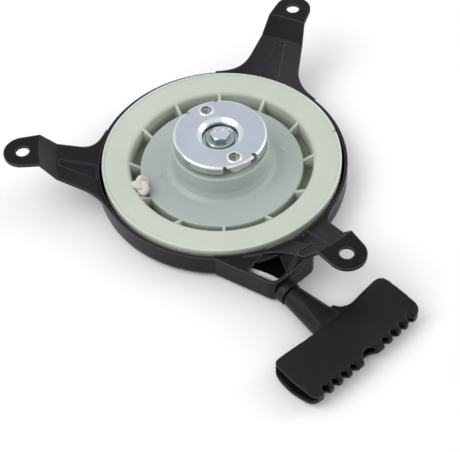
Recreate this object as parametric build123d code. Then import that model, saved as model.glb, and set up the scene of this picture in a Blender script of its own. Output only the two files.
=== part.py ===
"""Recoil (pull-cord) starter for a small engine.

Millimetres. The origin is on the pulley axis, in the plane of the housing's resting floor, and +Z points
towards the engine: out of the open side of the housing, along the pulley axis.
"""
import os
from math import acos, atan2, cos, degrees, hypot, pi, radians, sin

from build123d import *

# ---- driving dimensions ----
SHEET = 1.5                    # housing sheet thickness
CUP_R = 63.0                   # housing cup, outside radius
CUP_H = 14.5                   # housing cup, height
CUP_CORNER = 4.5               # outside radius of the bend between floor and wall
EMBOSS = (24.0, 37.5, 1.2)     # stiffening ring pressed into the floor: inner r, outer r, height

TAB_Z = 35.7                   # mounting face of the tabs
TAB_PCD = 192.4                # bolt circle
TAB_HOLE_R = 3.35
TAB_END_R = 9.3
ARM_AZIMUTHS = (63.8, 183.8, -56.2)
RAMP_FOOT = (61.5, 14.2)       # radius and height of the arm's upper face at the cup wall
RISER_FOOT = (81.3, 26.2)
RISER_TOP = (88.2, TAB_Z)
CHANNEL_DEPTH = 1.2

PULLEY_R = 60.0
PULLEY_TOP = 17.0
PULLEY_BOTTOM = 2.3
RING_INNER_R = 46.0            # inner edge of the pulley's broad top ring
RING_PLATE = 2.2
SKIRT_BOTTOM = 7.8             # upper side of the rope groove
GROOVE_BOTTOM_R = 47.6
GROOVE_LOW = 4.2               # lower side of the rope groove
DISC_R = 41.0
DISC_TOP = 11.7
DISC_UNDER = 9.4
CHAMBER_R = 39.6               # spring chamber under the disc
RIB_COUNT = 12
RIB_FIRST = -1.0
RIB_T = 1.4
POCKET_FLOOR = 4.4             # bottom of the pockets between the ribs
HUB_R = 24.0
HUB_WALL = 2.5
HUB_TOP = 26.0
HUB_DECK = 2.5
SLEEVE_R = 9.0
SLEEVE_TOP = 28.0

POST_R = 6.0
ARBOR_R = 9.0
ARBOR_TOP = 9.0
SPIGOT_R = 5.0
SHOULDER_TOP = 28.7
SPIGOT_TOP = 29.95
RUN_GAP = 0.05                 # radial clearance of every running fit
THREAD_R = 3.0                 # M6
HEX_TOP = 3.9                  # screw head height over the spigot

PLATE_R = 23.0                 # guide plate
PLATE_T = 1.1
PLATE_TOP = 33.5
PLATE_SKIRT = 28.8
RECESS_R = 11.0
RECESS_STEP_R = 8.9            # foot of the recess's conical wall
RECESS_STEP = 1.6
RECESS_FLOOR_R = 8.3
RECESS_DEPTH = 3.6
PAWL_PIVOT_R = 17.4
PAWL_AZIMUTHS = (-69.2, 110.8)
PLATE_HOLE_R = 2.65
PIN_R = 2.2
PAWL_LOW = 26.4
PAWL_HIGH = 31.9

ROPE_R = 1.5
ROPE_Z = 6.0
ROPE_WOUND_R = 55.7
KNOT_AZIMUTH = -161.5          # where the rope's inner end is knotted            # centre line of the outermost turn
HANDLE_AZ = -50.0              # direction of the pull
HANDLE_T = -29.3               # offset of the pull line from the pulley axis
END_WALL_S = 75.0              # outer face of the rope box's end wall, along the pull line
EYELET_OUT = 79.4
STEM_S = 79.8                  # mouth of the handle stem
ROPE_BEND_S = 70.0
BAR_S = (101.6, 128.6)          # inner and outer edge of the grip bar at its ends
BAR_ROOT_S = 105.4             # inner edge where the stem joins
BAR_BULGE = 1.6                # the outer edge's crown
BAR_HALF = 34.0
BAR_END_BULGE = (0.3, 1.6)     # the two end faces' crowns
BAR_SHIFT = 0.8                # the bar's middle, beside the pull line
HANDLE_LOW = 0.2
HANDLE_HIGH = 12.2
GRIP_WALL = 2.0


# ---- helpers ----
def save(shape, node):
    """Write one node, and print what it is."""
    export_step(shape, "parts/" + node + ".step")
    print(node, "solids", len(shape.solids()), "volume", round(shape.volume, 1))


def turned(points, radii=None):
    """Solid of revolution about Z from (r, z) corners; radii maps a corner's index to its fillet."""
    face = make_face(Polyline(*points, close=True))
    for index, radius in (radii or {}).items():
        face = fillet(face.vertices().sort_by_distance(Vector(*points[index]))[0], radius)
    return revolve(Plane.XZ * face, Axis.Z, 360)


def tube(outer, inner, low, high):
    return turned([(inner, low), (outer, low), (outer, high), (inner, high)])


def thick_line(points, thickness):
    """Closed outline of a bent sheet: the points are its upper face, in (r, z)."""
    lower = []
    for i, (x, z) in enumerate(points):
        before = points[max(i - 1, 0)]
        after = points[min(i + 1, len(points) - 1)]
        turns = []
        for a, b in ((before, (x, z)), ((x, z), after)):
            length = hypot(b[0] - a[0], b[1] - a[1])
            if length:
                turns.append(((b[1] - a[1]) / length, -(b[0] - a[0]) / length))
        nx = sum(t[0] for t in turns) / len(turns)
        nz = sum(t[1] for t in turns) / len(turns)
        scale = thickness / (nx * nx + nz * nz)
        lower.append((x + nx * scale, z + nz * scale))
    return points + lower[::-1]


def prism(points, low, high):
    """Upright prism on an (x, y) outline."""
    face = make_face(Polyline(*points, close=True))
    return Pos(0, 0, low) * extrude(face, high - low)


def polar(radius, azimuth):
    return (radius * cos(radians(azimuth)), radius * sin(radians(azimuth)))


def pull(s, t, z=None):
    """Point at s along the pull direction and t to its left."""
    a = radians(HANDLE_AZ)
    x = s * cos(a) - t * sin(a)
    y = s * sin(a) + t * cos(a)
    return (x, y) if z is None else (x, y, z)


def rod(start, end, radius, end_radius=None):
    """Round bar, or cone, between two points."""
    line = Vector(*end) - Vector(*start)
    plane = Plane(origin=start, z_dir=line)
    top = radius if end_radius is None else end_radius
    face_a = plane * Circle(radius)
    face_b = Plane(origin=end, z_dir=line, x_dir=plane.x_dir) * Circle(top)
    return loft([face_a.face(), face_b.face()])


# ---- housing ----
def arm_outline(inset=0.0):
    """Plan of one mounting arm along +X: flared root, straight taper, round end."""
    centre = TAB_PCD / 2
    end_r = TAB_END_R - inset
    root = Vector(56.5, 28.5 - inset)
    waist = Vector(70.0, 13.9 - inset)
    shoulder = Vector(88.0, 9.9 - inset)
    flare = Spline(root, (62.2, 18.8 - inset), waist, tangents=[(0.45, -0.89), (0.97, -0.22)])
    upper = [flare, Line(waist, shoulder), Line(shoulder, (centre, end_r))]
    nose = ThreePointArc((centre, end_r), (centre + end_r, 0), (centre, -end_r))
    lower = [mirror(edge, Plane.XZ) for edge in upper]
    close = Polyline(root, (40, 20), (40, -20), (root.X, -root.Y))
    return make_face(Curve() + upper + [nose] + lower + [close])


def sheet_ring(points):
    return revolve(Plane.XZ * make_face(Polyline(*thick_line(points, SHEET), close=True)), Axis.Z, 360)


def arm():
    """Ramp, riser and tab of one arm along +X, with its shallow pressed channel."""
    ring = sheet_ring([RAMP_FOOT, RISER_FOOT, RISER_TOP, (TAB_PCD / 2 + 14, TAB_Z)])
    sunk = [(RAMP_FOOT[0], RAMP_FOOT[1] - CHANNEL_DEPTH),
            (RISER_FOOT[0] - 0.9, RISER_FOOT[1] - CHANNEL_DEPTH - 0.6),
            (RISER_FOOT[0] + 1.2, RISER_FOOT[1] + 1.2)]
    channel_top = 30.0
    wide = [(60.5, -6.8), (81.5, -3.2), (83.5, 0), (81.5, 3.2), (60.5, 6.8)]
    narrow = [(60.5, -5.2), (80.0, -1.8), (80.0, 1.8), (60.5, 5.2)]
    outline = extrude(arm_outline(), 60)
    body = ring & outline
    body -= prism(narrow, 0, channel_top)
    body += sheet_ring(sunk) & prism(wide, 0, channel_top)
    hole = Pos(TAB_PCD / 2, 0, TAB_Z) * Cylinder(TAB_HOLE_R, 10)
    return body - hole


FRONT_NORMAL = -122.6                              # the front wall faces this way
FRONT_DISTANCE = 55.9                              # its outer face, from the pulley axis
FRONT_A = polar(CUP_R, FRONT_NORMAL + degrees(acos(FRONT_DISTANCE / CUP_R)))   # where it leaves the cup
FRONT_DIR = (cos(radians(FRONT_NORMAL + 90)), sin(radians(FRONT_NORMAL + 90)))


def front_wall_point(s):
    """Point of the front wall's outer face whose distance along the pull line is s."""
    a = radians(HANDLE_AZ)
    s_now = FRONT_A[0] * cos(a) + FRONT_A[1] * sin(a)
    rate = FRONT_DIR[0] * cos(a) + FRONT_DIR[1] * sin(a)
    k = (s - s_now) / rate
    return (FRONT_A[0] + k * FRONT_DIR[0], FRONT_A[1] + k * FRONT_DIR[1])


def front_wall_at(x):
    """Point of the front wall's outer face at this x."""
    k = (x - FRONT_A[0]) / FRONT_DIR[0]
    return (x, FRONT_A[1] + k * FRONT_DIR[1])


def rope_box_face():
    """Plan of the rope box: front wall, rounded corner, end wall, and back under the arm."""
    corner = front_wall_point(END_WALL_S)
    points = [FRONT_A, corner, pull(END_WALL_S, -9.0), polar(60.0, -52.0), polar(50.0, -60.0), polar(50.0, -95.0)]
    face = make_face(Polyline(*points, close=True))
    face = fillet(face.vertices().sort_by_distance(Vector(*corner))[0], 5.0)
    return fillet(face.vertices().sort_by_distance(Vector(*points[2]))[0], 4.0)


def housing():
    inner_r = CUP_R - SHEET
    e_in, e_out, e_h = EMBOSS
    cup = turned([(0, 0), (CUP_R, 0), (CUP_R, CUP_H), (0, CUP_H)], {1: CUP_CORNER})
    hollow = turned([(0, SHEET), (inner_r, SHEET), (inner_r, CUP_H + 5), (0, CUP_H + 5)],
                    {1: CUP_CORNER - SHEET})
    box_face = rope_box_face()
    box = extrude(box_face, CUP_H)
    box_edges = [e for e in box.edges().group_by(Axis.Z)[0] if e.center().length > CUP_R + 2]
    box = fillet(box_edges, 3.0)
    box_hollow = Pos(0, 0, SHEET) * extrude(offset(box_face, -SHEET, kind=Kind.INTERSECTION), CUP_H)
    shell = (cup + box) - (hollow + box_hollow)
    shell += turned([(e_in - 1.5, SHEET - 0.6), (e_out + 1.5, SHEET - 0.6), (e_out + 1.5, SHEET),
                     (e_out, SHEET + e_h), (e_in, SHEET + e_h), (e_in - 1.5, SHEET)])
    shell -= turned([(e_in - 1.0, -1), (e_out + 1.0, -1), (e_out + 1.0, 0), (e_out, e_h), (e_in, e_h),
                     (e_in - 1.0, 0)])
    # the front wall's folded-in flange, beside the pulley
    fold = [FRONT_A, front_wall_at(8.6), (9.2, -70.9), (12.2, -67.0), (16.0, -63.3), (19.6, -56.7), (10, -50), (-10, -50)]
    flange = prism(fold, CUP_H - SHEET, CUP_H) - Cylinder(PULLEY_R + 0.9, 80)
    shell += flange
    for azimuth in ARM_AZIMUTHS:
        shell += Rot(0, 0, azimuth) * arm()
    # sloping web from the arm's edge down to the end wall, and the end wall's raised corner
    a = radians(ARM_AZIMUTHS[2])
    arm_point = lambda u, v, z: Vector(u * cos(a) - v * sin(a), u * sin(a) + v * cos(a), z)
    web_points = [arm_point(63.5, -14.0, 15.0), arm_point(82.0, -9.5, 26.0), Vector(*pull(END_WALL_S, -27.0, 14.3))]
    web_face = make_face(Polyline(*web_points, close=True))
    normal = web_face.face().normal_at()
    down = -SHEET if normal.Z > 0 else SHEET
    shell += extrude(web_face, down)
    shell += end_wall_rise()
    # hole for the rope eyelet
    shell -= rod(pull(END_WALL_S - 6, HANDLE_T, ROPE_Z), pull(END_WALL_S + 3, HANDLE_T, ROPE_Z), 4.4)
    return shell


def end_wall_rise():
    """Part of the end wall above the cup height, under the web and the arm."""
    plane = Plane(origin=pull(END_WALL_S, 0, 0), x_dir=Vector(*pull(0, 1, 0)), z_dir=Vector(*pull(1, 0, 0)))
    outline = make_face(Polyline((-27.0, CUP_H - 1), (-27.0, CUP_H), (-19.5, 24.3), (-10.0, 23.0), (-10.0, CUP_H - 1),
                                 close=True))
    return extrude(plane * outline, -SHEET)


# ---- rope guide ----
def rope_eyelet():
    """Flanged bush in the end wall."""
    start = END_WALL_S - SHEET - 1.5
    body = rod(pull(start, HANDLE_T, ROPE_Z), pull(EYELET_OUT, HANDLE_T, ROPE_Z), 4.35)
    body += rod(pull(END_WALL_S, HANDLE_T, ROPE_Z), pull(EYELET_OUT, HANDLE_T, ROPE_Z), 5.7)
    bore = rod(pull(start - 1, HANDLE_T, ROPE_Z), pull(EYELET_OUT + 1, HANDLE_T, ROPE_Z), 2.3)
    return body - bore


# ---- centre post and its fastener ----
def centre_post():
    solid = turned([(0, SHEET), (ARBOR_R, SHEET), (ARBOR_R, ARBOR_TOP), (POST_R, ARBOR_TOP), (POST_R, SHOULDER_TOP),
                    (SPIGOT_R, SHOULDER_TOP), (SPIGOT_R, SPIGOT_TOP), (0, SPIGOT_TOP)])
    solid -= Pos(0, 0, 22) * Cylinder(THREAD_R + 0.05, 24)
    slot = Pos(ARBOR_R - 1.0, 0, 6.2) * Box(3.0, 1.2, 7.0)
    return solid - slot


def flange_screw():
    head = turned([(0, SPIGOT_TOP), (7.6, SPIGOT_TOP), (7.6, SPIGOT_TOP + 0.7), (6.4, SPIGOT_TOP + 1.2),
                   (0, SPIGOT_TOP + 1.2)])
    hexagon = Pos(0, 0, SPIGOT_TOP + 1.0) * extrude(RegularPolygon(4.35, 6, major_radius=False), HEX_TOP - 1.0)
    crown = turned([(0, SPIGOT_TOP), (5.3, SPIGOT_TOP), (5.3, SPIGOT_TOP + HEX_TOP - 0.6), (4.3, SPIGOT_TOP + HEX_TOP),
                    (0, SPIGOT_TOP + HEX_TOP)])
    dish = Pos(0, 0, SPIGOT_TOP + HEX_TOP) * Cylinder(2.6, 0.5)
    shank = Pos(0, 0, (SPIGOT_TOP + 14.0) / 2) * Cylinder(THREAD_R, SPIGOT_TOP - 14.0)
    return head + (hexagon & crown) - dish + shank


def washer(outer, inner, low, high):
    return chamfer(tube(outer, inner, low, high).edges().filter_by(GeomType.CIRCLE), 0.1)


# ---- recoil spring ----
def spring_radius(turns):
    """Radius of the strip after so many turns from its outer end: packed outside, then running in."""
    packed = 6.0
    if turns <= packed:
        return 38.4 - 0.85 * turns
    run = (turns - packed) / 2.0
    return 33.3 - (33.3 - 9.75) * run ** 1.25


def recoil_spring():
    strip = 0.45
    per_turn = 14
    count = int(8.0 * per_turn)
    outside = []
    inside = []
    for i in range(count + 1):
        turns = i / per_turn
        angle = -2 * pi * turns
        radius = spring_radius(turns)
        outside.append((radius * cos(angle), radius * sin(angle)))
        inside.append(((radius - strip) * cos(angle), (radius - strip) * sin(angle)))
    edges = Curve() + [Spline(*outside), Line(outside[-1], inside[-1]), Spline(*inside[::-1]),
                       Line(inside[0], outside[0])]
    return Pos(0, 0, 3.2) * extrude(make_face(edges), 5.6)


# ---- pulley ----
def pulley():
    ring_under = PULLEY_TOP - RING_PLATE - 0.6
    skirt_in = PULLEY_R - 2.4
    deck = DISC_UNDER + 0.35
    body = turned([
        (RING_INNER_R, PULLEY_TOP - 1.2), (PULLEY_R - 1.4, PULLEY_TOP - 0.7), (PULLEY_R - 1.0, PULLEY_TOP),
        (PULLEY_R, PULLEY_TOP), (PULLEY_R, SKIRT_BOTTOM), (skirt_in, SKIRT_BOTTOM), (skirt_in, ring_under),
        (GROOVE_BOTTOM_R, ring_under), (GROOVE_BOTTOM_R, GROOVE_LOW), (PULLEY_R - 0.6, GROOVE_LOW),
        (PULLEY_R - 0.6, PULLEY_BOTTOM), (CHAMBER_R, PULLEY_BOTTOM), (CHAMBER_R, DISC_UNDER),
        (SLEEVE_R + 1.5, DISC_UNDER), (SLEEVE_R + 1.5, deck), (POST_R + RUN_GAP, deck),
        (POST_R + RUN_GAP, SLEEVE_TOP), (SLEEVE_R, SLEEVE_TOP), (SLEEVE_R, HUB_TOP), (HUB_R, HUB_TOP),
        (HUB_R, DISC_TOP + 4.6), (HUB_R + 1.1, DISC_TOP + 1.6), (HUB_R + 3.8, DISC_TOP), (DISC_R, DISC_TOP),
        (DISC_R + 0.4, POCKET_FLOOR), (RING_INNER_R - 0.2, POCKET_FLOOR)],
        {0: 2.4, 2: 0.3, 3: 0.3, 19: 0.8, 20: 2.5, 21: 1.5, 22: 3.0, 23: 0.9})
    # the hub is cored out from below, around the sleeve
    body -= tube(HUB_R - HUB_WALL, SLEEVE_R + 1.5, DISC_UNDER - 1, HUB_TOP - HUB_DECK)
    # each rib crosses the pocket, falling to the disc, and closes the hollow ring over the rope
    side = [(DISC_R - 0.8, POCKET_FLOOR - 0.5), (DISC_R - 0.8, DISC_TOP - 0.4), (DISC_R, DISC_TOP - 0.3),
            (RING_INNER_R + 0.3, PULLEY_TOP - 1.8), (RING_INNER_R + 0.3, ring_under + 0.4),
            (skirt_in + 0.4, ring_under + 0.4), (skirt_in + 0.4, SKIRT_BOTTOM),
            (GROOVE_BOTTOM_R - 0.3, SKIRT_BOTTOM), (GROOVE_BOTTOM_R - 0.3, POCKET_FLOOR - 0.5)]
    rib = extrude(Plane.XZ * make_face(Polyline(*side, close=True)), RIB_T / 2, both=True)
    for i in range(RIB_COUNT):
        body += Rot(0, 0, RIB_FIRST + 30.0 * i) * rib
    # pips on the disc, the notch in the rim and the rope's pocket
    for azimuth in (13.0, -169.0):
        body += Pos(*polar(32.0, azimuth), DISC_TOP) * Cylinder(1.1, 1.0)
    body -= Rot(0, 0, 12.6) * (Pos(PULLEY_R, 0, PULLEY_TOP) * Box(3.4, 1.6, 3.0))
    body -= Rot(0, 0, KNOT_AZIMUTH - 4) * (Pos(GROOVE_BOTTOM_R - 0.6, 0, ROPE_Z) * Rot(0, 90, 0) * Cylinder(1.7, 5))
    for azimuth in PAWL_AZIMUTHS:
        body -= Pos(*polar(PAWL_PIVOT_R, azimuth), HUB_TOP) * Cylinder(PIN_R, 5.2)
    return body


# ---- pawl carrier parts ----
def guide_plate():
    inner = PLATE_R - PLATE_T
    floor_top = PLATE_TOP - RECESS_DEPTH
    body = turned([
        (SPIGOT_R + RUN_GAP, floor_top - PLATE_T), (RECESS_FLOOR_R + PLATE_T, floor_top - PLATE_T),
        (RECESS_STEP_R + PLATE_T, PLATE_TOP - RECESS_STEP - 0.5), (RECESS_R + 0.6, PLATE_TOP - PLATE_T),
        (inner, PLATE_TOP - PLATE_T), (inner, PLATE_SKIRT), (PLATE_R, PLATE_SKIRT), (PLATE_R, PLATE_TOP),
        (RECESS_R, PLATE_TOP), (RECESS_STEP_R, PLATE_TOP - RECESS_STEP), (RECESS_FLOOR_R, floor_top),
        (SPIGOT_R + RUN_GAP, floor_top)], {7: 1.0, 8: 0.5, 9: 0.5})
    window_low = PLATE_SKIRT - 1
    window_high = PLATE_TOP - PLATE_T
    for pivot in PAWL_AZIMUTHS:
        # the skirt opens over the pawl's sweep, with a small relief at each end
        arc = [polar(30, pivot - 15.8), polar(34, pivot + 4), polar(30, pivot + 27.0)]
        window = prism([polar(18, pivot - 15.8)] + arc + [polar(18, pivot + 27.0)], window_low, window_high)
        body -= window
        relief = prism([polar(PLATE_R - 2.2, pivot + 23.2), polar(26, pivot + 21.5), polar(26, pivot + 29.5),
                        polar(PLATE_R - 2.2, pivot + 27.6)], window_low, PLATE_TOP + 1)
        body -= relief
        body -= Pos(*polar(PLATE_R - 0.2, pivot - 17.4), PLATE_TOP) * Cylinder(1.0, 12)
        centre = polar(PAWL_PIVOT_R, pivot)
        rim = Pos(*centre, PLATE_TOP - PLATE_T / 2 + 0.2) * Cylinder(3.7, PLATE_T + 0.2)
        rim = fillet(rim.edges().sort_by(Axis.Z)[-1], 0.4)
        body += rim & Cylinder(PLATE_R - 0.9, 100)
        hole = Pos(*centre, PLATE_TOP) * Cylinder(PLATE_HOLE_R, 6)
        body -= hole
    return body


def pawl():
    """One pawl in the frame of its pivot azimuth: pivot on +X, nose swept towards +Y."""
    eye = 3.6
    pivot = (PAWL_PIVOT_R, 0)
    nose = polar(18.9, 25.0)
    back = polar(15.4, 22.0)
    body = Pos(*pivot) * extrude(Circle(eye), PAWL_HIGH - PAWL_LOW)
    beam = [(PAWL_PIVOT_R + 3.3, 1.4), polar(20.6, 22.5), nose, back, (PAWL_PIVOT_R - 3.2, 1.4)]
    body += extrude(make_face(Polyline(*beam, close=True)), PAWL_HIGH - PAWL_LOW)
    body -= Pos(*pivot, 0) * Cylinder(PIN_R + RUN_GAP, 20)
    return Pos(0, 0, PAWL_LOW) * body


def pawl_pin(azimuth):
    low = HUB_TOP - 2.6
    high = PLATE_TOP - 2.2
    pin = Pos(*polar(PAWL_PIVOT_R, azimuth), (low + high) / 2) * Cylinder(PIN_R, high - low)
    pin = fillet(pin.edges().sort_by(Axis.Z)[-1], 0.4)
    return pin - Pos(*polar(PAWL_PIVOT_R, azimuth), high) * Cylinder(1.2, 3.0)


def drag_ring():
    """Friction ring round the hub sleeve, with a finger for each pawl."""
    body = tube(11.6, SLEEVE_R + 0.3, HUB_TOP + 0.2, HUB_TOP + 1.4)
    for azimuth in PAWL_AZIMUTHS:
        body += Rot(0, 0, azimuth - 32.0) * (Pos(12.4, 0, HUB_TOP + 0.8) * Box(2.4, 2.6, 1.2))
    return body


def drag_clip():
    """Open spring clip that grips the sleeve above the drag ring."""
    body = tube(10.3, SLEEVE_R + 0.15, HUB_TOP + 1.45, HUB_TOP + 1.95)
    return body - Rot(0, 0, 40) * (Pos(9.6, 0, HUB_TOP + 1.7) * Box(3, 4, 3))


# ---- rope ----
def rope_coil():
    """Rope wound in the groove, as one closed ring of its outer shape."""
    return tube(ROPE_WOUND_R + ROPE_R, GROOVE_BOTTOM_R + 0.05, ROPE_Z - ROPE_R, ROPE_Z + ROPE_R)


def rope_run():
    """Rope from just clear of the winding to the stem's mouth, bent once in the eyelet."""
    bend = pull(ROPE_BEND_S, HANDLE_T)
    away = degrees(atan2(bend[1], bend[0])) - degrees(acos(ROPE_WOUND_R / hypot(*bend)))
    tangent = polar(ROPE_WOUND_R, away)
    reach = hypot(bend[0] - tangent[0], bend[1] - tangent[1])
    k = 21.0 / reach
    start = (tangent[0] + k * (bend[0] - tangent[0]), tangent[1] + k * (bend[1] - tangent[1]))
    path = FilletPolyline((*start, ROPE_Z), (*bend, ROPE_Z), pull(STEM_S, HANDLE_T, ROPE_Z), radius=15.0)
    profile = Plane(origin=path @ 0, z_dir=path % 0) * Circle(ROPE_R)
    run = sweep(profile, path=path)
    print("rope_run length", round(path.length, 2), "bend radius 15.0")
    return run


def rope_lead():
    """Rope inside the handle, from the stem's mouth to the knot."""
    return rod(pull(STEM_S, HANDLE_T, ROPE_Z), pull(BAR_S[0] + 4.5, HANDLE_T, ROPE_Z), ROPE_R)


def knot(size):
    """Stopper knot: three crossing lobes of rope drawn up tight."""
    lobe = Sphere(size)
    body = lobe + Pos(0.55 * size, 0.75 * size, 0.2 * size) * Sphere(0.8 * size)
    return body + Pos(-0.55 * size, -0.75 * size, 0.1 * size) * Sphere(0.85 * size)


def rope_knot():
    x, y = polar(43.4, KNOT_AZIMUTH)
    return Pos(x, y, DISC_TOP + 3.0) * (Rot(0, 0, 25) * knot(3.6))


def handle_knot():
    return Pos(*pull(BAR_S[0] + 8.2, HANDLE_T, ROPE_Z)) * (Rot(0, 0, HANDLE_AZ) * knot(2.6))


# ---- handle ----
def in_pull_frame(shape):
    """From a frame with x along the pull and y to its left, on the pull line."""
    return Pos(*pull(0, HANDLE_T), 0) * (Rot(0, 0, HANDLE_AZ) * shape)


def side_profile(inset):
    """Side section of the grip bar in (x, z): thick near the stem, thinner at the fingers' edge."""
    near, far = BAR_S[0], BAR_S[1] + BAR_BULGE
    low = HANDLE_LOW
    high = HANDLE_HIGH
    points = [(near + inset, low + 6.0), (near + 2.6 + 0.8 * inset, low + 1.6 + 0.8 * inset),
              (near + 9.0, low + inset), (far - 8.0, low + 1.6 + inset), (far - 1.6 - 0.7 * inset, low + 4.4 + 0.8 * inset),
              (far - inset, high - 4.6), (far - 2.8 - 0.6 * inset, high - 1.2 - 0.8 * inset),
              (far - 8.0, high - 0.2 - inset), (near + 6.0, high - inset), (near + 1.0 + 0.9 * inset, high - 2.2 - 0.5 * inset)]
    return Spline(*points, periodic=True)


def handle_grip():
    near, far = BAR_S
    half = BAR_HALF
    width = 2 * half
    root = BAR_ROOT_S
    stem_left, stem_right = 6.9, -5.8
    left, right = half + BAR_SHIFT, -half + BAR_SHIFT
    outline = [Line((near - 12, stem_left), (root, stem_left)), Line((root, stem_left), (near, left)),
               ThreePointArc((near, left), ((near + far) / 2, left + BAR_END_BULGE[0]), (far, left)),
               ThreePointArc((far, left), (far + BAR_BULGE, BAR_SHIFT), (far, right)),
               ThreePointArc((far, right), ((near + far) / 2, right - BAR_END_BULGE[1]), (near, right)),
               Line((near, right), (root, stem_right)), Line((root, stem_right), (near - 12, stem_right)),
               Line((near - 12, stem_right), (near - 12, stem_left))]
    plan = make_face(Curve() + outline)
    ends = [v for v in plan.vertices() if abs(v.Y) > half - 3.0]
    plan = fillet(ends, 4.0)
    corners = [v for v in plan.vertices() if abs(v.X - root) < 0.1 and abs(v.Y) < half / 2]
    plan = fillet([v for v in corners if v.Y > 0], 7.0)
    corners = [v for v in plan.vertices() if abs(v.X - root) < 0.1 and -half / 2 < v.Y < 0]
    plan = fillet(corners, 3.5)
    bar_plan = extrude(plan, 20)
    side = Plane.XZ * make_face(side_profile(0.0))
    slab = Pos(0, half + 5, 0) * extrude(side, width + 10)
    neck = Pos(near + 1.0, 0, (HANDLE_LOW + HANDLE_HIGH) / 2) * Box(14.0, 28.0, 11.0)
    bar = bar_plan & (slab + neck)
    start = (STEM_S, 0, ROPE_Z)
    stem = rod(start, (near + 3.0, 0, ROPE_Z + 0.2), 5.2, 7.9)
    trim_box = Pos((STEM_S + far) / 2, 0, (HANDLE_LOW + HANDLE_HIGH) / 2) * Box(90, 90, HANDLE_HIGH - HANDLE_LOW)
    body = (bar - Pos(near - 8.0, 0, 6) * Box(12, 40, 40) + stem) & trim_box
    cavity_side = Plane.XZ * make_face(side_profile(GRIP_WALL))
    cavity = Pos(0, half + 5, 0) * extrude(cavity_side, width + 10)
    body -= cavity
    body -= rod((STEM_S - 1, 0, ROPE_Z), (near + 6, 0, ROPE_Z), ROPE_R + 0.3)
    body -= rod((near + 2.9, 0, ROPE_Z), (near + 9.0, 0, ROPE_Z), 3.35)
    for side_sign in (-1, 1):
        for i in range(4):
            y = side_sign * (10.2 + 5.6 * i)
            edge = far + BAR_BULGE * (1 - (y / half) ** 2)
            y += BAR_SHIFT
            body -= Pos(edge - 1.6, y, 6) * Cylinder(1.6, 20)
            body -= Pos(edge + 0.9, y, 6) * Box(5.0, 3.2, 20)
    body -= Pos(far + BAR_BULGE + 0.4, BAR_SHIFT, 6) * Cylinder(4.6, 20)
    return in_pull_frame(body)


def knot_plate():
    """Steel washer in the grip that the end knot bears on."""
    near = BAR_S[0]
    body = rod((near + 2.9, 0, ROPE_Z), (near + 4.1, 0, ROPE_Z), 3.3)
    body -= rod((near + 2, 0, ROPE_Z), (near + 5, 0, ROPE_Z), ROPE_R + 0.05)
    return in_pull_frame(body)


os.makedirs("parts", exist_ok=True)
save(housing(), "housing")
save(rope_eyelet(), "rope_eyelet")
save(centre_post(), "centre_post")
save(flange_screw(), "flange_screw")
save(washer(8.8, POST_R + 0.1, ARBOR_TOP + 0.05, ARBOR_TOP + 0.65), "lower_thrust_washer")
save(washer(8.4, POST_R + 0.1, SLEEVE_TOP + 0.02, SLEEVE_TOP + 0.5), "upper_thrust_washer")
save(recoil_spring(), "recoil_spring")
save(pulley(), "pulley")
save(guide_plate(), "guide_plate")
for number, pivot_azimuth in enumerate(PAWL_AZIMUTHS, start=1):
    save(Rot(0, 0, pivot_azimuth) * pawl(), "pawl_%d" % number)
    save(pawl_pin(pivot_azimuth), "pawl_pin_%d" % number)
save(drag_ring(), "drag_ring")
save(drag_clip(), "drag_clip")
save(rope_coil(), "rope_coil")
save(rope_run(), "rope_run")
save(rope_lead(), "rope_lead")
save(rope_knot(), "rope_knot")
save(handle_knot(), "handle_knot")
save(handle_grip(), "handle_grip")
save(knot_plate(), "knot_plate")
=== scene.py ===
import math
from math import cos, pi, radians, sin

import bmesh
import bpy
from mathutils import Matrix, Vector

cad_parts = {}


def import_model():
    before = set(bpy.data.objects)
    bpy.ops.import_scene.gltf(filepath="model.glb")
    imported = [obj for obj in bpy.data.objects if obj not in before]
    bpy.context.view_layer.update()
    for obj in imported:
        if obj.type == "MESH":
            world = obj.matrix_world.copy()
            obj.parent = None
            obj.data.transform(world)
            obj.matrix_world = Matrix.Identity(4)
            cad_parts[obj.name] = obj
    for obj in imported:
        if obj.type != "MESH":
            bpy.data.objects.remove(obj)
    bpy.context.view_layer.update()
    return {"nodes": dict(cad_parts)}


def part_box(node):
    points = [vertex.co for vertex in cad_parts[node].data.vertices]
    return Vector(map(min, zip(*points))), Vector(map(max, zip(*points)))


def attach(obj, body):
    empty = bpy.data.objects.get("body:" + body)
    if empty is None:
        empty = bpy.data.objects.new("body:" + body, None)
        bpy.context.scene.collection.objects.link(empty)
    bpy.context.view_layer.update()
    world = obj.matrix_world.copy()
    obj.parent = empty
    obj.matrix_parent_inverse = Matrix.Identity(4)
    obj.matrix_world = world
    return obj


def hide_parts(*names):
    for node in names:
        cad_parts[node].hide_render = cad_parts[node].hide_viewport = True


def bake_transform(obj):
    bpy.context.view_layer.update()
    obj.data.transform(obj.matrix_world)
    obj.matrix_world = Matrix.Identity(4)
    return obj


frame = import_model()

MM = 0.001

# Lengths below are in mm, angles in degrees.
# ---- camera ----
LENS = 93.91
CAMERA_AT = (2.26, -406.26, 459.39)
CAMERA_DOWN = 50.79            # how far the view looks below level
CAMERA_ROLL = -3.34

# ---- rope ----
ROPE_R = 1.5
ROPE_Z = 6.0                   # height of the rope and of the hole through the grip's stem
GROOVE_FIRST_R = 49.1          # first turn's radius, then how much each turn adds, and the last turn's
TURN_ADDS = 2.9
GROOVE_LAST_R = 55.7
GROOVE_FROM = -165.0           # azimuth where the first turn starts
STEPS_PER_TURN = 24
LAST_STEPS = 7                 # steps past the third turn
KNOT_MOVE = (0.9, -0.7, 0.3)   # the knot's centre from that of the CAD knot
KNOT_SIZE = (1.10, 1.60, 1.30)

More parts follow.
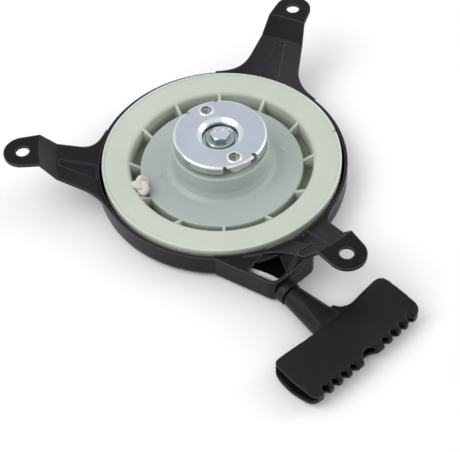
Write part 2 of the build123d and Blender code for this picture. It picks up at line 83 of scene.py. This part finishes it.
# ---- pull line: s runs along the rope's way out, t to its left ----
HANDLE_AZ = -50.0
HANDLE_T = -29.3
ROPE_BEND_S = 70.0             # where the run from the pulley meets the pull line
ROPE_RISE = 3.4                # how high the run bows between the pulley and the eyelet
ROPE_END_S = 106.5             # inside the grip

# ---- where colours change, mostly painted highlights and painted shade: spans of radius or height ----
PAWL_HOLES = (17.4, (-69.2, 110.8))    # pitch radius and azimuths of the guide plate's two holes
HOLE_WALL_R = (2.55, 3.0)
HOLE_RIM_R = (3.6, 3.9)
RECESS_FOOT_R = (8.4, 9.4)
RECESS_LIP_R = (11.0, 11.7)
PLATE_EDGE_R = (21.6, 22.6)
PLATE_SIDE_Z = (32.2, 31.2)
FLANGE_EDGE_R = (6.6, 7.4)
FLANGE_TOP_Z = (30.9, 31.3)
SCREW_FLATS_Z = (31.1, 33.4)
SCREW_TOP_Z = (33.3, 33.6)
DISC_TO_RIM_R = (40.5, 45.5)
POCKET_Z = (5.0, 11.0)


def polar(radius, azimuth, z=0.0):
    return Vector((radius * cos(radians(azimuth)), radius * sin(radians(azimuth)), z)) * MM


def pull(s):
    """The point s along the rope's way out of the housing."""
    a = radians(HANDLE_AZ)
    return Vector((s * cos(a) - HANDLE_T * sin(a), s * sin(a) + HANDLE_T * cos(a), ROPE_Z)) * MM


# ---------------------------------------------------------------- camera and light
def camera():
    data = bpy.data.cameras.new("camera")
    data.lens = LENS
    data.sensor_width = 36.0
    data.clip_start = 0.02
    data.clip_end = 20.0
    cam = bpy.data.objects.new("camera", data)
    place = Matrix.Translation(Vector(CAMERA_AT) * MM)
    turn = Matrix.Rotation(radians(90 - CAMERA_DOWN), 4, "X") @ Matrix.Rotation(radians(CAMERA_ROLL), 4, "Z")
    cam.matrix_world = place @ turn
    bpy.context.collection.objects.link(cam)
    bpy.context.scene.camera = cam


def area_light(name, at, size, watts):
    """A rectangular lamp aimed at the part; at and size are in metres."""
    data = bpy.data.lights.new(name, "AREA")
    data.shape = "RECTANGLE"
    data.size, data.size_y = size
    data.energy = watts
    lamp = bpy.data.objects.new(name, data)
    lamp.rotation_euler = (-Vector(at)).to_track_quat("-Z", "Y").to_euler()
    lamp.location = at
    bpy.context.collection.objects.link(lamp)


def world():
    w = bpy.data.worlds.new("studio")
    w.use_nodes = True
    back = w.node_tree.nodes["Background"]
    back.inputs["Color"].default_value = (0.96, 0.98, 1.0, 1)
    back.inputs["Strength"].default_value = 0.78
    bpy.context.scene.world = w
    bpy.context.scene.view_settings.view_transform = "Standard"


# ---------------------------------------------------------------- node helpers
class Nodes:
    """A material's node tree, with short calls for the nodes used here."""

    def __init__(self, name):
        self.mat = bpy.data.materials.new(name)
        self.mat.use_nodes = True
        self.tree = self.mat.node_tree
        self.shader = self.tree.nodes["Principled BSDF"]

    def add(self, kind, **props):
        node = self.tree.nodes.new(kind)
        for key, value in props.items():
            setattr(node, key, value)
        return node

    def link(self, a, b):
        self.tree.links.new(a, b)

    def set(self, **sockets):
        for key, value in sockets.items():
            self.shader.inputs[key.replace("_", " ")].default_value = value

    def connect_shader(self, colour, roughness, normal):
        """Connect the varying inputs of the shader; roughness may be None."""
        self.link(colour, self.shader.inputs["Base Color"])
        if roughness:
            self.link(roughness, self.shader.inputs["Roughness"])
        self.link(normal, self.shader.inputs["Normal"])
        return self.mat

    def place(self):
        return self.add("ShaderNodeTexCoord").outputs["Object"]

    def noise(self, scale, detail):
        node = self.add("ShaderNodeTexNoise")
        node.inputs["Scale"].default_value = scale
        node.inputs["Detail"].default_value = detail
        node.inputs["Roughness"].default_value = 0.55
        self.link(self.place(), node.inputs["Vector"])
        return node.outputs["Fac"]

    def ramp(self, value, low, high, at=(0.3, 0.7)):
        """Blend from one colour to another where the value passes the two places."""
        node = self.add("ShaderNodeValToRGB")
        for element, place, colour in zip(node.color_ramp.elements, at, (low, high)):
            element.position = place
            element.color = (*colour, 1)
        self.link(value, node.inputs["Fac"])
        return node.outputs["Color"]

    def grey(self, value, low, high):
        return self.ramp(value, (low,) * 3, (high,) * 3)

    def mix(self, amount, a, b):
        """Blend of two colours, each a tuple or another node's output."""
        node = self.add("ShaderNodeMix", data_type="RGBA")
        self.link(amount, node.inputs["Factor"])
        for socket, value in ((node.inputs["A"], a), (node.inputs["B"], b)):
            if isinstance(value, tuple):
                socket.default_value = (*value, 1)
            else:
                self.link(value, socket)
        return node.outputs["Result"]

    def bump(self, height, strength, distance, below=None):
        node = self.add("ShaderNodeBump")
        node.inputs["Strength"].default_value = strength
        node.inputs["Distance"].default_value = distance
        self.link(height, node.inputs["Height"])
        if below:
            self.link(below, node.inputs["Normal"])
        return node.outputs["Normal"]

    def bevel(self, radius):
        node = self.add("ShaderNodeBevel", samples=6)
        node.inputs["Radius"].default_value = radius
        return node.outputs["Normal"]

    def edges(self, radius):
        """How far the rounded normal leans from the face's own: 0 on a flat, more on an edge."""
        dot = self.add("ShaderNodeVectorMath", operation="DOT_PRODUCT")
        self.link(self.bevel(radius), dot.inputs[0])
        self.link(self.add("ShaderNodeNewGeometry").outputs["Normal"], dot.inputs[1])
        less = self.add("ShaderNodeMath", operation="SUBTRACT")
        less.inputs[0].default_value = 1.0
        self.link(dot.outputs["Value"], less.inputs[1])
        return less.outputs["Value"]

    def height(self):
        split = self.add("ShaderNodeSeparateXYZ")
        self.link(self.place(), split.inputs["Vector"])
        return split.outputs["Z"]

    def across(self, centre=(0, 0, 0)):
        """Distance in plan from an upright line through the centre."""
        split = self.add("ShaderNodeSeparateXYZ")
        self.link(self.place(), split.inputs["Vector"])
        flat = self.add("ShaderNodeCombineXYZ")
        self.link(split.outputs["X"], flat.inputs["X"])
        self.link(split.outputs["Y"], flat.inputs["Y"])
        away = self.add("ShaderNodeVectorMath", operation="DISTANCE")
        self.link(flat.outputs["Vector"], away.inputs[0])
        away.inputs[1].default_value = centre
        return away.outputs["Value"]

    def between(self, value, low, high):
        """0 up to low, 1 from high on."""
        node = self.add("ShaderNodeMapRange")
        node.inputs["From Min"].default_value = low
        node.inputs["From Max"].default_value = high
        self.link(value, node.inputs["Value"])
        return node.outputs["Result"]

    def over(self, value, span):
        """The same for a length and a span in mm."""
        return self.between(value, span[0] * MM, span[1] * MM)


def scaled(colour, factor):
    return tuple(min(1.0, factor * c) for c in colour)


# ---------------------------------------------------------------- materials
def painted(name):
    """Black paint on sheet steel, with a painted highlight along every edge and bend."""
    m = Nodes(name)
    fine = m.noise(900, 3)
    broad = m.noise(45, 4)
    coat = m.ramp(broad, (0.0030, 0.0028, 0.0040), (0.0058, 0.0054, 0.0072), at=(0.3, 0.75))
    # painted highlight: a paler colour, (0.085, 0.085, 0.095), along edges and bends, where the rounded
    # normal leans away from the face's own
    edge = m.between(m.edges(0.0014), 0.02, 0.22)
    m.set(Specular_IOR_Level=0.20, Specular_Tint=(0.95, 0.93, 1.0, 1))
    return m.connect_shader(m.mix(edge, coat, (0.085, 0.085, 0.095)), m.grey(broad, 0.27, 0.36),
                  m.bump(fine, 0.16, 0.0003, m.bevel(0.0010)))


def plastic(name, dark, light, rough, bevel=0.0005, specular=0.28):
    m = Nodes(name)
    fine = m.noise(1400, 3)
    broad = m.noise(60, 3)
    m.set(Specular_IOR_Level=specular)
    return m.connect_shader(m.ramp(broad, dark, light), m.grey(broad, rough - 0.05, rough + 0.05),
                  m.bump(fine, 0.14, 0.0002, m.bevel(bevel)))


def nylon(name, rim, disc_shade, low_shade):
    """Milky moulding: pale at the rim; greyer inside it and darker low down in the pockets, both painted
    shade; paler along edges, a painted highlight.
    """
    m = Nodes(name)
    broad = m.noise(30, 4)
    fine = m.noise(260, 4)
    # painted shade: the recessed middle inside the rim is given a greyer colour
    body = m.mix(m.over(m.across(), DISC_TO_RIM_R), disc_shade, rim)
    # painted shade: darker low down, in the pockets and on the lower side
    body = m.mix(m.over(m.height(), POCKET_Z), low_shade, body)
    body = m.mix(m.grey(broad, 0.0, 0.35), body, scaled(rim, 0.86))
    # painted highlight: paler along edges
    body = m.mix(m.between(m.edges(0.0009), 0.03, 0.40), body, scaled(rim, 1.22))
    m.set(Subsurface_Weight=0.5, Subsurface_Radius=(0.85, 1.0, 0.7), Subsurface_Scale=0.004)
    return m.connect_shader(body, m.grey(fine, 0.34, 0.46), m.bump(fine, 0.05, 0.0004, m.bevel(0.0006)))


def metal(name, colour, rough):
    m = Nodes(name)
    fine = m.noise(500, 4)
    broad = m.noise(60, 4)
    m.set(Metallic=1.0)
    return m.connect_shader(m.ramp(broad, scaled(colour, 0.86), colour), m.grey(fine, rough - 0.06, rough + 0.08),
                  m.bump(fine, 0.05, 0.0002, m.bevel(0.0003)))


def plated(name, colours, bevel):
    """Bright zinc plating; colours(m) gives the base colour, painted highlights and painted shade included.
    """
    m = Nodes(name)
    fine = m.noise(300, 4)
    m.set(Metallic=1.0)
    return m.connect_shader(colours(m), m.grey(fine, 0.17, 0.25), m.bump(fine, 0.02, 0.0002, m.bevel(bevel)))


def plate_colours_and_painted_light(m):
    """Blue-white flat with a painted highlight along its drawn edge, a pressed recess with painted shade at
    its foot and a painted highlight up its side, and rolled hole rims, each with a painted highlight round
    it and painted shade inside.
    """
    across = m.across()
    flat = m.mix(m.grey(m.noise(60, 4), 0.0, 1.0), (0.60, 0.64, 0.73), (0.68, 0.72, 0.81))
    # painted shade at the recess's foot, rising to a painted highlight up its side
    recess_shade_and_highlight = m.mix(m.over(across, RECESS_FOOT_R), (0.20, 0.24, 0.25), (0.86, 0.93, 0.92))
    colour = m.mix(m.over(across, RECESS_LIP_R), recess_shade_and_highlight, flat)
    # painted highlight: white along the plate's outer edge
    colour = m.mix(m.over(across, PLATE_EDGE_R), colour, (1.0, 1.0, 1.0))
    colour = m.mix(m.over(m.height(), PLATE_SIDE_Z), colour, (0.62, 0.68, 0.68))
    radius, azimuths = PAWL_HOLES
    for azimuth in azimuths:
        away = m.across(polar(radius, azimuth))
        # painted highlight: white round each hole's rolled rim; painted shade: dark inside the hole
        ring = m.mix(m.over(away, HOLE_RIM_R), (1.0, 1.0, 1.0), colour)
        colour = m.mix(m.over(away, HOLE_WALL_R), (0.24, 0.26, 0.25), ring)
    return colour


def screw_colours_and_painted_light(m):
    """A bright flange and a top with a painted highlight, the hexagon's faces in painted shade that darkens
    towards their foot, and a painted shadow line round the flange.
    """
    height = m.height()
    # painted shade: the hexagon's faces, darkest at their foot
    shaded_flats = m.mix(m.over(height, SCREW_FLATS_Z), (0.20, 0.27, 0.28), (0.58, 0.63, 0.65))
    # painted highlight: a brighter top
    lit_head = m.mix(m.over(height, SCREW_TOP_Z), shaded_flats, (0.70, 0.74, 0.79))
    # painted shadow: a dark line round the flange's edge
    flange = m.mix(m.over(m.across(), FLANGE_EDGE_R), (0.66, 0.72, 0.73), (0.10, 0.12, 0.12))
    return m.mix(m.over(height, FLANGE_TOP_Z), flange, lit_head)


def fibre(name, light, dark):
    m = Nodes(name)
    fine = m.noise(2600, 2)
    m.set(Roughness=0.75, Sheen_Weight=0.3, Sheen_Roughness=0.5, Subsurface_Weight=0.15,
          Subsurface_Radius=(1.0, 1.0, 0.9), Subsurface_Scale=0.001)
    return m.connect_shader(m.ramp(fine, dark, light), None, m.bump(fine, 0.25, 0.0002))


LOOKS = {
    "painted_steel": (painted,),
    "black_plastic": (plastic, (0.005, 0.005, 0.0055), (0.009, 0.009, 0.010), 0.42),
    "black_grip": (plastic, (0.0045, 0.0044, 0.0058), (0.0072, 0.0070, 0.0088), 0.42, 0.0003, 0.24),
    "post_steel": (metal, (0.50, 0.49, 0.47), 0.34),
    "washer_steel": (metal, (0.55, 0.54, 0.52), 0.3),
    "zinc": (plated, screw_colours_and_painted_light, 0.00018),
    "zinc_plate": (plated, plate_colours_and_painted_light, 0.00035),
    "pin_steel": (metal, (0.62, 0.61, 0.58), 0.28),
    "spring_steel": (metal, (0.25, 0.26, 0.29), 0.3),
    # the nylon looks list the rim's colour, then painted shade for the middle inside it and for low down in
    # the pockets
    "nylon": (nylon, (0.565, 0.600, 0.525), (0.400, 0.445, 0.420), (0.260, 0.290, 0.215)),
    "pawl_nylon": (nylon, (0.58, 0.62, 0.54), (0.54, 0.58, 0.50), (0.40, 0.44, 0.36)),
    "drag_plastic": (plastic, (0.30, 0.34, 0.28), (0.36, 0.40, 0.33), 0.4),
    "rope": (fibre, (0.88, 0.88, 0.85), (0.60, 0.60, 0.58)),
    "knot": (fibre, (0.80, 0.76, 0.70), (0.60, 0.57, 0.52)),
}
MATERIALS = {name: make(name, *values) for name, (make, *values) in LOOKS.items()}

SLOTS = {
    "housing": "painted_steel", "rope_eyelet": "black_plastic", "centre_post": "post_steel",
    "flange_screw": "zinc", "lower_thrust_washer": "washer_steel", "upper_thrust_washer": "washer_steel",
    "recoil_spring": "spring_steel", "pulley": "nylon", "guide_plate": "zinc_plate",
    "pawl_1": "pawl_nylon", "pawl_2": "pawl_nylon", "pawl_pin_1": "pin_steel", "pawl_pin_2": "pin_steel",
    "drag_ring": "drag_plastic", "drag_clip": "spring_steel", "rope_coil": "rope", "rope_run": "rope",
    "rope_lead": "rope", "rope_knot": "rope", "handle_knot": "rope", "handle_grip": "black_grip",
    "knot_plate": "washer_steel",
}


def dress():
    """Give every CAD node its material."""
    for name, obj in frame["nodes"].items():
        obj.data.materials.clear()
        obj.data.materials.append(MATERIALS[SLOTS[name]])


def floor():
    mesh = bpy.data.meshes.new("floor")
    b = bmesh.new()
    bmesh.ops.create_grid(b, x_segments=2, y_segments=2, size=6.0)
    b.to_mesh(mesh)
    b.free()
    obj = bpy.data.objects.new("floor", mesh)
    obj.location.z = -0.0002
    bpy.context.collection.objects.link(obj)
    m = Nodes("floor_white")
    m.set(Base_Color=(0.93, 0.93, 0.93, 1), Roughness=0.9)
    mesh.materials.append(m.mat)


# ---------------------------------------------------------------- rope
def route(points, resolution):
    """Points along a smooth open spline that the control points shape."""
    curve = bpy.data.curves.new("route", "CURVE")
    curve.dimensions = "3D"
    spline = curve.splines.new("NURBS")
    spline.points.add(len(points) - 1)
    for control, point in zip(spline.points, points):
        control.co = (*point, 1.0)
    spline.order_u = 3
    spline.use_endpoint_u = True
    curve.resolution_u = resolution
    obj = bpy.data.objects.new("route", curve)
    mesh = bpy.data.meshes.new_from_object(obj)
    found = [v.co.copy() for v in mesh.vertices]
    bpy.data.objects.remove(obj)
    bpy.data.meshes.remove(mesh)
    bpy.data.curves.remove(curve)
    return found


def even(points, step):
    """The same line with its points a step apart, each with two directions across it, and the step."""
    lengths = [0.0]
    for a, b in zip(points, points[1:]):
        lengths.append(lengths[-1] + (b - a).length)
    count = max(4, int(lengths[-1] / step))
    spaced = []
    k = 0
    for i in range(count + 1):
        want = lengths[-1] * i / count
        while k < len(points) - 2 and lengths[k + 1] < want:
            k += 1
        part = (want - lengths[k]) / max(lengths[k + 1] - lengths[k], 1e-9)
        spaced.append(points[k].lerp(points[k + 1], part))
    stations = []
    side = None
    for i, point in enumerate(spaced):
        ahead = (spaced[min(i + 1, count)] - spaced[max(i - 1, 0)]).normalized()
        if side is None:
            side = ahead.orthogonal().normalized()
        side = (side - ahead * side.dot(ahead)).normalized()
        stations.append((point, side, ahead.cross(side).normalized()))
    return stations, lengths[-1] / count


def sweep(b, rings):
    """Skin a list of equal point rings into the mesh under construction, with both ends closed."""
    rows = [[b.verts.new(p) for p in ring] for ring in rings]
    n = len(rows[0])
    for low, high in zip(rows, rows[1:]):
        for j in range(n):
            b.faces.new((low[j], low[(j + 1) % n], high[(j + 1) % n], high[j]))
    b.faces.new(rows[0][::-1])
    b.faces.new(rows[-1])


def oval(centre, across, up, wide, thick, count):
    """A closed ring of points round a centre."""
    turns = [2 * pi * j / count for j in range(count)]
    return [centre + across * wide * cos(turn) + up * thick * sin(turn) for turn in turns]


def braid(name, points, step, body=None, radius=ROPE_R * MM, material="rope"):
    """A braided cord along a line: a core, and carriers in both hands that pass over and under."""
    carriers = 5
    lay = 7.5 * MM
    core_r = radius * 0.84
    stations, gap = even(points, step * MM)
    b = bmesh.new()
    sweep(b, [oval(point, side, up, core_r, core_r, 12) for point, side, up in stations[::2]])
    for hand in (1, -1):
        under = 0 if hand > 0 else pi
        for c in range(carriers):
            rings = []
            for i, (point, side, up) in enumerate(stations):
                along = 2 * pi * i * gap / lay
                turn = hand * along + 2 * pi * c / carriers
                weave = cos(carriers * along + under)
                out = side * cos(turn) + up * sin(turn)
                round_it = up * cos(turn) - side * sin(turn)
                tangent = (side.cross(up) + round_it * hand * 2 * pi * radius / lay).normalized()
                centre = point + out * (core_r + weave * radius * 0.07)
                across = tangent.cross(out).normalized()
                rings.append(oval(centre, across, out, radius * 0.40, radius * 0.17, 8))
            sweep(b, rings)
    bmesh.ops.recalc_face_normals(b, faces=b.faces)
    mesh = bpy.data.meshes.new(name)
    b.to_mesh(mesh)
    b.free()
    for face in mesh.polygons:
        face.use_smooth = True
    mesh.materials.append(MATERIALS[material])
    obj = bpy.data.objects.new(name, mesh)
    bpy.context.collection.objects.link(obj)
    if body:
        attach(obj, body)
    return obj


def wound_rope():
    """Three turns in the groove, from the hole at the knot out to where the rope leaves."""
    turns = []
    for i in range(3 * STEPS_PER_TURN + LAST_STEPS):
        radius = min(GROOVE_FIRST_R + TURN_ADDS * i / STEPS_PER_TURN, GROOVE_LAST_R)
        turns.append(polar(radius, GROOVE_FROM + 360.0 / STEPS_PER_TURN * i, ROPE_Z))
    obj = braid("rope_turns", route(turns, 5), 0.7, "pulley")
    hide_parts("rope_coil")


def rope_line():
    """From the pulley's tangent, through the eyelet, to the knot in the grip."""
    bend = pull(ROPE_BEND_S)
    tangent = math.atan2(bend.y, bend.x) - math.acos(GROOVE_LAST_R * MM / bend.length)
    leave = polar(GROOVE_LAST_R, math.degrees(tangent), ROPE_Z)
    rise = Vector((0, 0, ROPE_RISE * MM))
    points = [leave, leave.lerp(bend, 0.35) + 0.7 * rise, leave.lerp(bend, 0.7) + rise,
              bend.lerp(pull(78), 0.10) + 0.8 * rise, pull(76), pull(88), pull(ROPE_END_S)]
    obj = braid("rope_line", route(points, 16), 0.5)
    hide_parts("rope_run", "rope_lead")
    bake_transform(obj)


def pulley_knot():
    """An overhand knot pulled tight at the rope's inner end, with its short tail."""
    low, high = (Vector(c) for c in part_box("rope_knot"))
    centre = (low + high) / 2 + Vector(KNOT_MOVE) * MM
    points = []
    for i in range(25):
        t = 2 * pi * (i / 26.0) + 0.5
        points.append(Vector((sin(t) + 2 * sin(2 * t), cos(t) - 2 * cos(2 * t), -1.15 * sin(3 * t))))
    tail = points[-1] + Vector((1.4, -1.6, -0.4))
    line = [points[0] + Vector((0.6, 1.2, -1.6))] + points + [tail]
    turn = Matrix.Rotation(radians(25), 3, "Z")
    placed = [centre + turn @ (p * Vector(KNOT_SIZE)) * MM for p in line]
    obj = braid("pulley_knot", route(placed, 10), 0.5, "pulley", ROPE_R * 1.08 * MM, "knot")
    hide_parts("rope_knot")


def moulded_grip():
    """The grip as it leaves its mould: the same solid with every edge softened."""
    source = frame["nodes"]["handle_grip"]
    mesh = source.data.copy()
    mesh.materials.clear()
    obj = bpy.data.objects.new("grip_moulded", mesh)
    obj.matrix_world = source.matrix_world.copy()
    bpy.context.collection.objects.link(obj)
    remesh = obj.modifiers.new("remesh", "REMESH")
    remesh.mode = "VOXEL"
    remesh.voxel_size = 0.45 * MM
    relax = obj.modifiers.new("relax", "SMOOTH")
    relax.factor = 0.5
    relax.iterations = 7
    bpy.context.view_layer.update()
    done = bpy.data.meshes.new_from_object(obj.evaluated_get(bpy.context.evaluated_depsgraph_get()))
    obj.modifiers.clear()
    obj.data = done
    for face in done.polygons:
        face.use_smooth = True
    done.materials.clear()
    done.materials.append(MATERIALS["black_grip"])
    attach(obj, "handle")
    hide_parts("handle_grip")


camera()
world()
floor()
area_light("key", (-0.75, -0.25, 1.0), (0.9, 0.9), 7)
area_light("side", (1.1, 0.25, 0.5), (0.5, 0.9), 4)
dress()
wound_rope()
rope_line()
pulley_knot()
moulded_grip()
